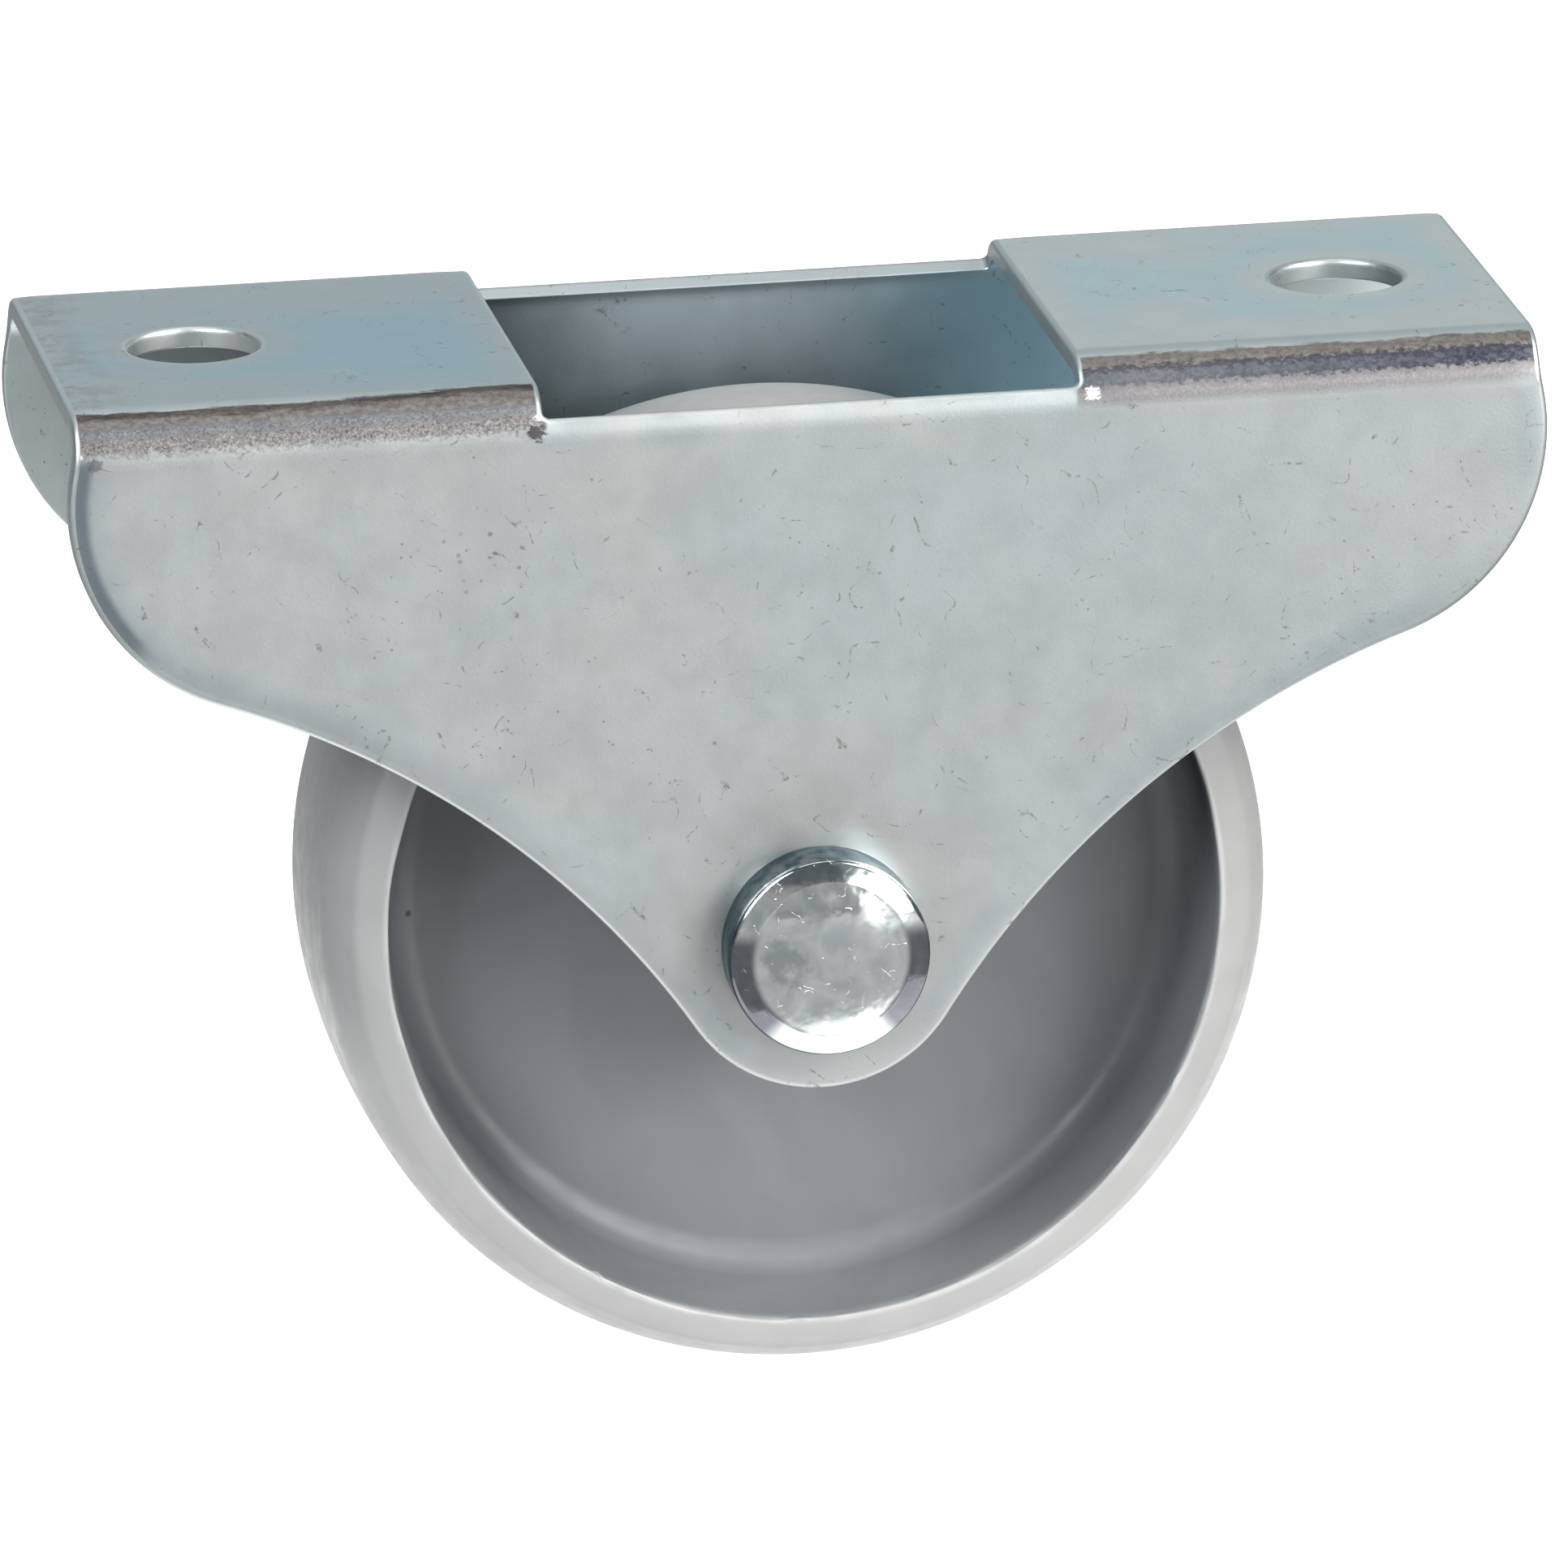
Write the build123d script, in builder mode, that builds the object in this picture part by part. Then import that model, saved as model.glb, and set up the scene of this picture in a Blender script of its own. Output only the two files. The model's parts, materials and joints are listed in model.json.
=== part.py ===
"""Fixed furniture caster: a folded steel bracket, a plastic wheel and the rivet that the wheel turns on.

The frame has its origin midway between the two screw holes, in the mounting face.
+X runs along the bracket, +Y across it along the axle, and +Z points up out of the mounting face.
Sizes are in millimetres and angles in degrees.
"""

import os
from math import acos, atan2, cos, degrees, hypot, isclose, radians, sin

from build123d import *

# Bracket sheet and channel
bracket_length = 61.4
bracket_width = 21.8
tab_length = 60.8
sheet_thickness = 0.9
bend_inner_radius = 1.1
blank_edge_rounding = 0.2

# Bracket legs, seen from the side
axle_drop = 24.2
leg_corner_radius = 9.0
leg_corner_drop = 4.0
leg_flank_radius = 38.0
leg_foot_radius = 6.3

# Window between the two tabs
window_length = 22.2
window_bend_angle = 64.0
window_corner_radius = 0.3

# Screw holes in the tabs
screw_hole_diameter = 5.5
screw_hole_spacing = 48.0

# Wheel rim
wheel_diameter = 40.0
tread_crown = 0.1
tread_width = 7.4
shoulder_width = 13.2
shoulder_diameter = 37.8
shoulder_rounding = 0.8
rim_width = 14.4

# Wheel recess, web and hub
recess_mouth_diameter = 35.0
recess_root_diameter = 33.4
recess_mouth_rounding = 0.2
recess_root_fillet = 1.4
web_thickness = 3.8
hub_diameter = 8.4
hub_draft = 0.3
hub_root_fillet = 0.8
hub_edge_rounding = 0.3

# Axle rivet
shank_diameter = 5.0
tail_diameter = 4.0
head_diameter = 8.4
head_height = 2.8
head_edge_rounding = 0.3
head_bevel_drop = 0.3
head_face_diameter = 6.6
head_face_rise = 0.36
formed_head_diameter = 7.4
formed_head_height = 1.7
formed_head_rounding = 1.2

# Clearances
running_clearance = 0.08
hub_side_clearance = 0.2
rivet_hole_clearance = 0.03

# Sizes that follow from those above
bend_outer_radius = bend_inner_radius + sheet_thickness
half_length = bracket_length / 2
half_tab = tab_length / 2
half_width = bracket_width / 2
inner_half_width = half_width - sheet_thickness
leg_depth = axle_drop + leg_foot_radius
bend_centre_y = half_width - bend_outer_radius
bend_centre_z = -bend_outer_radius
wheel_radius = wheel_diameter / 2
shank_radius = shank_diameter / 2
tail_radius = tail_diameter / 2
axle_centre = (0, 0, -axle_drop)
axle_line = Axis(axle_centre, (0, 1, 0))

# A section plane through the axle: its X runs along the axle, its Y is the distance from the axle line
axle_section = Plane(origin=axle_centre, x_dir=(0, 1, 0), z_dir=(1, 0, 0))


def flank_angle():
    """Direction from the axle to the centre of the flank arc, which touches the foot and the leg corner."""
    corner_x = half_length - leg_corner_radius
    corner_z = axle_drop - leg_corner_drop
    span = hypot(corner_x, corner_z)
    reach_foot = leg_flank_radius + leg_foot_radius
    reach_corner = leg_flank_radius + leg_corner_radius
    turn = acos((span**2 + reach_foot**2 - reach_corner**2) / (2 * span * reach_foot))
    return degrees(atan2(corner_z, corner_x) - turn)


def polar(radius, angle):
    """A point in a sketch at a radius and an angle from its origin."""
    return Vector(radius * cos(radians(angle)), radius * sin(radians(angle)))


def is_outer_side(face):
    """Whether a face of the bracket belongs to the sheet's outer side: tabs, outer bends and legs."""
    if face.geom_type == GeomType.CYLINDER:
        return isclose(face.radius, bend_outer_radius) and abs(face.axis_of_rotation.direction.X) > 0.5
    centre = face.center()
    return isclose(centre.Z, 0, abs_tol=1e-6) or isclose(abs(centre.Y), half_width)


def free_edges(side):
    """The edges that belong to only one of a list of faces."""
    borders = [edge for face in side for edge in face.edges()]
    return [edge for edge in borders if sum(edge.is_same(other) for other in borders) == 1]


# Bracket
# One folded sheet: a channel, cut to the outline of its legs
foot_centre = Vector(0, -axle_drop)
corner_centre = Vector(half_length - leg_corner_radius, -leg_corner_drop)
flank_centre = foot_centre + polar(leg_flank_radius + leg_foot_radius, flank_angle())
corner_to_flank = (flank_centre - corner_centre).normalized()
corner_end = corner_centre + corner_to_flank * leg_corner_radius
foot_start = foot_centre + polar(leg_foot_radius, flank_angle())

with BuildPart() as bracket:
    # The channel's section, a sheet with two bends
    with BuildSketch(Plane.YZ.offset(-half_length)):
        with BuildLine():
            outer_wall = FilletPolyline(
                (-half_width, -leg_depth), (-half_width, 0), (half_width, 0), (half_width, -leg_depth),
                radius=bend_outer_radius,
            )
            inner_wall = FilletPolyline(
                (-inner_half_width, -leg_depth), (-inner_half_width, -sheet_thickness),
                (inner_half_width, -sheet_thickness), (inner_half_width, -leg_depth),
                radius=bend_inner_radius,
            )
            Line(outer_wall @ 0, inner_wall @ 0)
            Line(outer_wall @ 1, inner_wall @ 1)
        make_face()
    extrude(amount=bracket_length)

    # The outline of both legs: ends that flare in the bends, round corners, hollow flanks and a round foot
    with BuildSketch(Plane.XZ.offset(-half_width)):
        with BuildLine():
            top_edge = Line((0, 0), (half_tab, 0))
            tab_end = Line(top_edge @ 1, (half_tab, -sheet_thickness))
            leg_end = Vector(half_length, -leg_corner_drop)
            flare_start = TangentArc(tab_end @ 1, (tab_end @ 1 + leg_end) / 2, tangent=tab_end % 1)
            flare_end = TangentArc(flare_start @ 1, leg_end, tangent=flare_start % 1)
            corner_arc = TangentArc(flare_end @ 1, corner_end, tangent=(0, -1))
            flank_arc = TangentArc(corner_arc @ 1, foot_start, tangent=corner_arc % 1)
            TangentArc(flank_arc @ 1, (0, -leg_depth), tangent=flank_arc % 1)
            mirror(about=Plane.YZ)
        make_face()
    extrude(amount=bracket_width, mode=Mode.INTERSECT)

    # The window, cut square to the sheet part of the way round each bend
    bend_cut_reach = 2 * bend_outer_radius
    bend_cut = polar(bend_cut_reach, 90 - window_bend_angle)
    with BuildSketch(Plane.YZ.offset(-window_length / 2)):
        with BuildLine():
            Polyline(
                (bend_centre_y, bend_centre_z),
                (bend_centre_y + bend_cut.X, bend_centre_z + bend_cut.Y),
                (bend_centre_y + bend_cut.X, bend_cut_reach),
                (-bend_centre_y - bend_cut.X, bend_cut_reach),
                (-bend_centre_y - bend_cut.X, bend_centre_z + bend_cut.Y),
                (-bend_centre_y, bend_centre_z),
                close=True,
            )
        make_face()
    extrude(amount=window_length, mode=Mode.SUBTRACT)
    window_corners = edges().filter_by(GeomType.LINE).filter_by(
        lambda edge: isclose(abs(edge.center().X), window_length / 2)
        and isclose(edge.length, sheet_thickness)
    )
    fillet(window_corners, window_corner_radius)

    # Blanking leaves the sheet's outer side rounded all along its cut edge
    outer_side = faces().filter_by(is_outer_side)
    fillet(free_edges(outer_side), blank_edge_rounding)

    # Holes for the mounting screws
    with Locations(Plane.XY):
        with GridLocations(screw_hole_spacing, 0, 2, 1):
            Hole(screw_hole_diameter / 2, depth=sheet_thickness)

    # Holes for the rivet: its full shank through the near leg, its thinner tail through the far one
    with Locations(Plane(origin=(0, -half_width, -axle_drop), z_dir=(0, -1, 0))):
        Hole(shank_radius + rivet_hole_clearance, depth=sheet_thickness)
    with Locations(Plane(origin=(0, half_width, -axle_drop), z_dir=(0, 1, 0))):
        Hole(tail_radius + rivet_hole_clearance, depth=sheet_thickness)
bracket.part.label = "bracket"

# Wheel
# One moulding: a crowned rim with soft shoulders, a web in the middle and a hub between the legs
hub_half = inner_half_width - hub_side_clearance
bore_radius = shank_radius + running_clearance
with BuildPart() as wheel:
    with BuildSketch(axle_section):
        with BuildLine():
            hub_and_recess = FilletPolyline(
                (0, bore_radius),
                (hub_half, bore_radius),
                (hub_half, hub_diameter / 2),
                (web_thickness / 2, hub_diameter / 2 + hub_draft),
                (web_thickness / 2, recess_root_diameter / 2),
                (rim_width / 2, recess_mouth_diameter / 2),
                (shoulder_width / 2, shoulder_diameter / 2),
                radius=(
                    hub_edge_rounding, hub_edge_rounding, hub_root_fillet, recess_root_fillet,
                    recess_mouth_rounding,
                ),
            )
            tread = ThreePointArc(
                (-tread_width / 2, wheel_radius - tread_crown),
                (0, wheel_radius),
                (tread_width / 2, wheel_radius - tread_crown),
            )
            TangentArc(tread @ 1, hub_and_recess @ 1, tangent=tread % 1)
            mirror(about=Plane.YZ)
        section = make_face()
        shoulders = section.vertices().filter_by(
            lambda vertex: isclose(vertex.Y, shoulder_diameter / 2, abs_tol=1e-6)
        )
        fillet(shoulders, shoulder_rounding)
    revolve(axis=axle_line)
wheel.part.label = "wheel"

# Axle rivet
# A headed pin with a shoulder at the far leg, and a tail formed into a second head behind it
with BuildPart() as axle_rivet:
    with BuildSketch(axle_section):
        with BuildLine():
            # The factory head: a short drum, a shallow bevel and a low dome inside it
            bevel_top = half_width + head_height - head_face_rise
            head_side = FilletPolyline(
                (-half_width, head_diameter / 2),
                (-bevel_top + head_bevel_drop, head_diameter / 2),
                (-bevel_top, head_face_diameter / 2),
                radius=head_edge_rounding,
            )
            face_centre = (-half_width - head_height, 0)
            TangentArc(face_centre, head_side @ 1, tangent=(0, 1))
            # The shank, the shoulder at the far leg's inner face and the tail through that leg
            Polyline(
                head_side @ 0,
                (-half_width, shank_radius),
                (inner_half_width, shank_radius),
                (inner_half_width, tail_radius),
                (half_width, tail_radius),
                (half_width, formed_head_diameter / 2),
            )
            # The formed head: a plain button
            button = FilletPolyline(
                (half_width, formed_head_diameter / 2),
                (half_width + formed_head_height, formed_head_diameter / 2),
                (half_width + formed_head_height, 0),
                radius=formed_head_rounding,
            )
            Line(button @ 1, face_centre)
        make_face()
    revolve(axis=axle_line)
axle_rivet.part.label = "axle_rivet"

os.makedirs("parts", exist_ok=True)
for piece in (bracket, wheel, axle_rivet):
    export_step(piece.part, f"parts/{piece.part.label}.step")
    print(piece.part.label, "volume", round(piece.part.volume, 1), "mm3")
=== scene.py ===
"""Looks of a fixed furniture caster: a zinc-plated bracket, a grey plastic wheel and a bright rivet."""
import json
import math

import bmesh
import bpy
import numpy as np
from mathutils import Matrix, Vector, geometry


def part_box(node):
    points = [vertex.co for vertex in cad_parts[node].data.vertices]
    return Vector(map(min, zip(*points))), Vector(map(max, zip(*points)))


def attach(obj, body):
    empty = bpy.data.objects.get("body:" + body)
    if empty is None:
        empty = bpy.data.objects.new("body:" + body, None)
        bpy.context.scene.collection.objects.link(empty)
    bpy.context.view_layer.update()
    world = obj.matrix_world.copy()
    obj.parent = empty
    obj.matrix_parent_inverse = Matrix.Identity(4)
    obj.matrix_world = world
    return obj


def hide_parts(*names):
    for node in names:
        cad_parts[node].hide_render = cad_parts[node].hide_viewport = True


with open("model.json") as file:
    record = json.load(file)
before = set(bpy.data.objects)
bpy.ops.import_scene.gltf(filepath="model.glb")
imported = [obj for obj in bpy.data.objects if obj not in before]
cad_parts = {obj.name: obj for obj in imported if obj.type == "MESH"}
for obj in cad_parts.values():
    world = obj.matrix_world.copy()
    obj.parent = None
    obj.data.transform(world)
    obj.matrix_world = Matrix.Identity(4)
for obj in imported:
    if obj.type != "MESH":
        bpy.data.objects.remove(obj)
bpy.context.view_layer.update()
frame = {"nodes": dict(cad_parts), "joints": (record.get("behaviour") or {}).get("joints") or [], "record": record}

# Sizes below are in millimetres, and meshes are made in millimetres and scaled to metres at the end.
MM = 0.001

# Sizes that the frame gives
bracket_low, bracket_high = (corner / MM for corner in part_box("bracket"))
wheel_low, wheel_high = (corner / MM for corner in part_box("wheel"))
rivet_low, rivet_high = (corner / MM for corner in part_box("axle_rivet"))
mounts = {mount["name"]: mount for mount in frame["record"]["mounts"]}
screw_spacing = mounts["screw_holes"]["dims"]["spacing_x_mm"]
screw_hole_radius = mounts["screw_holes"]["dims"]["hole_r_mm"]
axle_z = frame["joints"][0]["pos_m"][2] / MM
half_length = bracket_high.x
half_width = bracket_high.y
floor_z = wheel_low.z
wheel_radius = wheel_high.x
hub_half = wheel_high.y

# Sheet of the bracket
SHEET = 0.9
BEND_INNER = 1.1
BEND_OUTER = BEND_INNER + SHEET
LEG_CORNER_RADIUS = 9.0
LEG_CORNER_Z = -4.0
LEG_FLANK_RADIUS = 38.0
LEG_FOOT_RADIUS = axle_z - bracket_low.z
WINDOW_HALF = 11.1
WINDOW_BEND_ANGLE = math.radians(64.0)
WINDOW_CORNER = 0.3
TAB_HALF = 30.4

# Axle rivet
SHANK_RADIUS = 2.5
TAIL_RADIUS = 2.0
RIVET_HOLE_CLEARANCE = 0.03
HEAD_FACE_RADIUS = 3.3
HEAD_FACE_RISE = 0.36
HEAD_BEVEL_DROP = 0.3
HEAD_EDGE_ROUNDING = 0.3
HEAD_BEVEL_ROUNDING = 0.5
HEAD_FOOT_ROUNDING = 0.05
FORMED_HEAD_RADIUS = 3.7
FORMED_HEAD_ROUNDING = 1.2
RIVET_SEGMENTS = 192
HEAD_FACE_RINGS = 24
HEAD_STEP = 0.05
FORMED_HEAD_STEP = 0.08

# The cut edge of the sheet: a wide shallow die roll, a tight rounding, and a sharper edge inside
DIE_ROLL_WIDTH = 1.1
DIE_ROLL_DEPTH = 0.05
EDGE_REACH = 2.5
EDGE_ROUNDING = 0.2
BURR_ROUNDING = 0.06

# Rings of points beside and under those roundings, which keep them crisp
RING_BESIDE_ROUNDING = 0.06
RING_UNDER_ROUNDING = 0.1
RING_BESIDE_BURR = 0.05

# Distances between the points of outlines
OUTLINE_STEP = 0.3
FLARE_STEP = 0.2
TAB_END_STEP = 0.1
CORNER_STEP = 0.07
HOLE_STEP = 0.2
ROUNDING_STEP = 0.12

# Points inside the sheet: a grid, rows that follow the outlines through the die roll, and what each
# keeps clear of
FLAT_ROW_STEP = 0.55
BEND_ROWS = 17
LEG_ROW_START = 0.3
GRID_STEP = 0.6
GRID_FREE = 0.3
FOLLOWER_INSETS = (0.5, 0.8, DIE_ROLL_WIDTH)
FOLLOWER_FREE = 0.18
GRID_TO_FOLLOWER = 0.28

# Points closer together than this count as one
SAME_POINT = 1e-6
TRIANGULATION_EPSILON = 1e-7

# Places across the sheet, measured along its outer side from the middle of the tabs
FLAT_HALF = half_width - BEND_OUTER
BEND_RUN = BEND_OUTER * math.pi / 2
LEG_START = FLAT_HALF + BEND_RUN


def as_object(name, mesh):
    """Links a mesh made in millimetres as an object in metres."""
    mesh.transform(Matrix.Scale(MM, 4))
    made = bpy.data.objects.new(name, mesh)
    bpy.context.scene.collection.objects.link(made)
    mesh.polygons.foreach_set("use_smooth", [True] * len(mesh.polygons))
    return made


def arc(centre, radius, start, stop, step=OUTLINE_STEP):
    """Points along a circular arc, angles in radians, about one step apart, with both ends."""
    count = max(3, math.ceil(abs(stop - start) * radius / step))
    angles = np.linspace(start, stop, count + 1)
    return np.c_[centre[0] + radius * np.cos(angles), centre[1] + radius * np.sin(angles)]


def straight(start, stop, step=OUTLINE_STEP):
    """Points along a straight line, about one step apart, with both ends."""
    start, stop = np.array(start, float), np.array(stop, float)
    count = max(1, math.ceil(np.linalg.norm(stop - start) / step))
    return start + np.linspace(0, 1, count + 1)[:, None] * (stop - start)


def joined(*runs):
    """One closed loop from runs of points, without the points that repeat."""
    points = np.vstack(runs)
    following = np.roll(points, -1, axis=0)
    return points[np.linalg.norm(following - points, axis=1) > SAME_POINT]


# Outline of the flat sheet
def leg_quarter():
    """A quarter of the sheet's outline, from the middle of its end to the tip of its foot."""
    corner = np.array([half_length - LEG_CORNER_RADIUS, LEG_CORNER_Z])
    foot = np.array([0.0, axle_z])
    span = corner - foot
    reach_foot = LEG_FLANK_RADIUS + LEG_FOOT_RADIUS
    reach_corner = LEG_FLANK_RADIUS + LEG_CORNER_RADIUS
    length = np.linalg.norm(span)
    turn = math.acos((length**2 + reach_foot**2 - reach_corner**2) / (2 * length * reach_foot))
    toward = math.atan2(span[1], span[0]) - turn
    flank = foot + reach_foot * np.array([math.cos(toward), math.sin(toward)])
    back = math.atan2(*(corner - flank)[::-1])
    # The end of the tab flares into the end of the leg along two equal arcs
    flare_half = np.array([half_length - TAB_HALF, -SHEET - LEG_CORNER_Z]) / 2
    flare_radius = (flare_half @ flare_half) / (2 * flare_half[0])
    flare_turn = math.asin(flare_half[1] / flare_radius)
    side = np.vstack([
        straight((TAB_HALF, 0), (TAB_HALF, -SHEET), TAB_END_STEP),
        arc((TAB_HALF + flare_radius, -SHEET), flare_radius, math.pi, math.pi + flare_turn, FLARE_STEP),
        arc((half_length - flare_radius, LEG_CORNER_Z), flare_radius, flare_turn, 0, FLARE_STEP),
        arc(corner, LEG_CORNER_RADIUS, 0, back - math.pi),
        arc(flank, LEG_FLANK_RADIUS, back, toward + math.pi),
        arc(foot, LEG_FOOT_RADIUS, toward, -math.pi / 2),
    ])
    # Heights on the folded sheet become places across the flat one
    turn = np.arccos(np.clip(1 + side[:, 1] / BEND_OUTER, 0, 1))
    side[:, 1] = FLAT_HALF + BEND_OUTER * turn + np.maximum(-BEND_OUTER - side[:, 1], 0)
    return np.vstack([straight((TAB_HALF, 0), (TAB_HALF, FLAT_HALF)), side])


def sheet_outline():
    quarter = leg_quarter()
    half = np.vstack([quarter, quarter[::-1] * (-1, 1)])
    return joined(half, half[::-1] * (1, -1))


def window_outline():
    half_across = FLAT_HALF + BEND_OUTER * WINDOW_BEND_ANGLE
    x, s = WINDOW_HALF - WINDOW_CORNER, half_across - WINDOW_CORNER
    return joined(
        straight((WINDOW_HALF, -s), (WINDOW_HALF, s)),
        arc((x, s), WINDOW_CORNER, 0, math.pi / 2, CORNER_STEP),
        straight((x, half_across), (-x, half_across)),
        arc((-x, s), WINDOW_CORNER, math.pi / 2, math.pi, CORNER_STEP),
        straight((-WINDOW_HALF, s), (-WINDOW_HALF, -s)),
        arc((-x, -s), WINDOW_CORNER, math.pi, 1.5 * math.pi, CORNER_STEP),
        straight((-x, -half_across), (x, -half_across)),
        arc((x, -s), WINDOW_CORNER, 1.5 * math.pi, 2 * math.pi, CORNER_STEP),
    )


def hole_outline(x, s, radius):
    return joined(arc((x, s), radius, 0, 2 * math.pi, HOLE_STEP))


def inward(loop):
    """At each point of a loop, the unit normal that points to the left of its direction of travel."""
    along = np.roll(loop, -1, axis=0) - np.roll(loop, 1, axis=0)
    normal = np.c_[-along[:, 1], along[:, 0]]
    return normal / np.linalg.norm(normal, axis=1)[:, None]


def area(loop):
    following = np.roll(loop, -1, axis=0)
    return 0.5 * np.sum(loop[:, 0] * following[:, 1] - following[:, 0] * loop[:, 1])


def inside(points, loop):
    """Which points lie inside a loop."""
    hit = np.zeros(len(points), bool)
    for a, b in zip(loop, np.roll(loop, -1, axis=0)):
        crosses = (a[1] > points[:, 1]) != (b[1] > points[:, 1])
        slope = (b[0] - a[0]) / (b[1] - a[1]) if b[1] != a[1] else 0
        hit ^= crosses & (points[:, 0] < a[0] + slope * (points[:, 1] - a[1]))
    return hit


def distance(points, loop):
    """How far each point lies from the nearest point of a loop."""
    return np.min(np.linalg.norm(points[:, None] - loop[None], axis=2), axis=1)


def fold(x, s, depth):
    """Places on the folded sheet from places on the flat one: s runs across it, depth goes into it."""
    across = np.abs(s)
    angle = np.clip((across - FLAT_HALF) / BEND_OUTER, 0, math.pi / 2)
    reach = BEND_OUTER - depth
    y = np.minimum(across, FLAT_HALF) + np.where(angle > 0, reach * np.sin(angle), 0)
    z = np.where(angle > 0, -BEND_OUTER + reach * np.cos(angle), -depth)
    z = z - np.maximum(across - LEG_START, 0)
    return np.c_[x, np.sign(s) * y, z]


def in_sheet(points, loops):
    """Which points lie inside the first loop and outside the others."""
    found = inside(points, loops[0])
    for loop in loops[1:]:
        found &= ~inside(points, loop)
    return found


def away_from(points, loops, free):
    """Which points lie farther than a distance from every loop."""
    return np.all([distance(points, loop) > free for loop in loops], axis=0)


def sheet_loops():
    """The flat sheet's outlines, the outer one first and anticlockwise, and which of them have a die roll."""
    near, far = SHANK_RADIUS + RIVET_HOLE_CLEARANCE, TAIL_RADIUS + RIVET_HOLE_CLEARANCE
    axle_s = LEG_START - BEND_OUTER - axle_z
    loops = [sheet_outline(), window_outline(), hole_outline(0, -axle_s, near), hole_outline(0, axle_s, far)]
    loops += [hole_outline(side * screw_spacing / 2, 0, screw_hole_radius) for side in (-1, 1)]
    loops = [loop if (area(loop) > 0) == (index == 0) else loop[::-1] for index, loop in enumerate(loops)]
    return loops, [True, True, False, False, True, True]


def edge_rings():
    """Rings of the cut edge, as inset from the outline and depth into the sheet."""
    corner = np.linspace(0, math.pi / 2, 5)
    rounding = [(EDGE_ROUNDING * (1 - math.sin(a)), EDGE_ROUNDING * (1 - math.cos(a))) for a in corner]
    burr = [(BURR_ROUNDING * (1 - math.cos(a)), SHEET - BURR_ROUNDING * (1 - math.sin(a)))
            for a in corner[::2]]
    wall = [(0, EDGE_ROUNDING + RING_UNDER_ROUNDING), (0, SHEET - BURR_ROUNDING - RING_BESIDE_BURR)]
    outermost = [(EDGE_ROUNDING + RING_BESIDE_ROUNDING, 0)]
    return outermost + rounding + wall + burr + [(BURR_ROUNDING + RING_BESIDE_BURR, SHEET)]


def inner_points(loops, rolled, first):
    """Points inside the sheet, with rows close together round the bends and wider on the flats."""
    rows = np.r_[np.arange(0, FLAT_HALF, FLAT_ROW_STEP), np.linspace(FLAT_HALF, LEG_START, BEND_ROWS),
                 np.arange(LEG_START + LEG_ROW_START, LEG_START - BEND_OUTER - bracket_low.z, GRID_STEP)]
    rows = np.r_[-rows[:0:-1], rows]
    columns = np.arange(-half_length, half_length, GRID_STEP)
    grid = np.array([(x, s) for s in rows for x in columns])
    grid = grid[in_sheet(grid, first) & away_from(grid, first, GRID_FREE)]
    followers = [
        (loop + inward(loop) * inset)[::2]
        for loop, is_rolled in zip(loops, rolled) if is_rolled for inset in FOLLOWER_INSETS
    ]
    followers = np.vstack(followers)
    followers = followers[in_sheet(followers, first) & away_from(followers, first, FOLLOWER_FREE)]
    return np.vstack([grid[away_from(grid, [followers], GRID_TO_FOLLOWER)], followers])


def triangulated(flat, starts, first):
    """Triangles between the flat sheet's points, all turned the same way."""
    edges = [
        (start + i, start + (i + 1) % len(loop))
        for start, loop in zip(starts, first) for i in range(len(loop))
    ]
    found = geometry.delaunay_2d_cdt([Vector(p) for p in flat], edges, [], 0, TRIANGULATION_EPSILON)
    if len(found[0]) != len(flat):
        raise ValueError("the sheet's points changed in number when they were triangulated")
    order = [sources[0] for sources in found[3]]
    triangles = np.array([[order[i] for i in face] for face in found[2]])
    triangles = triangles[in_sheet(flat[triangles].mean(axis=1), first)]
    corners = flat[triangles]
    turned = np.cross(corners[:, 1] - corners[:, 0], corners[:, 2] - corners[:, 0]) < 0
    triangles[turned] = triangles[turned][:, ::-1]
    return triangles


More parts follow.
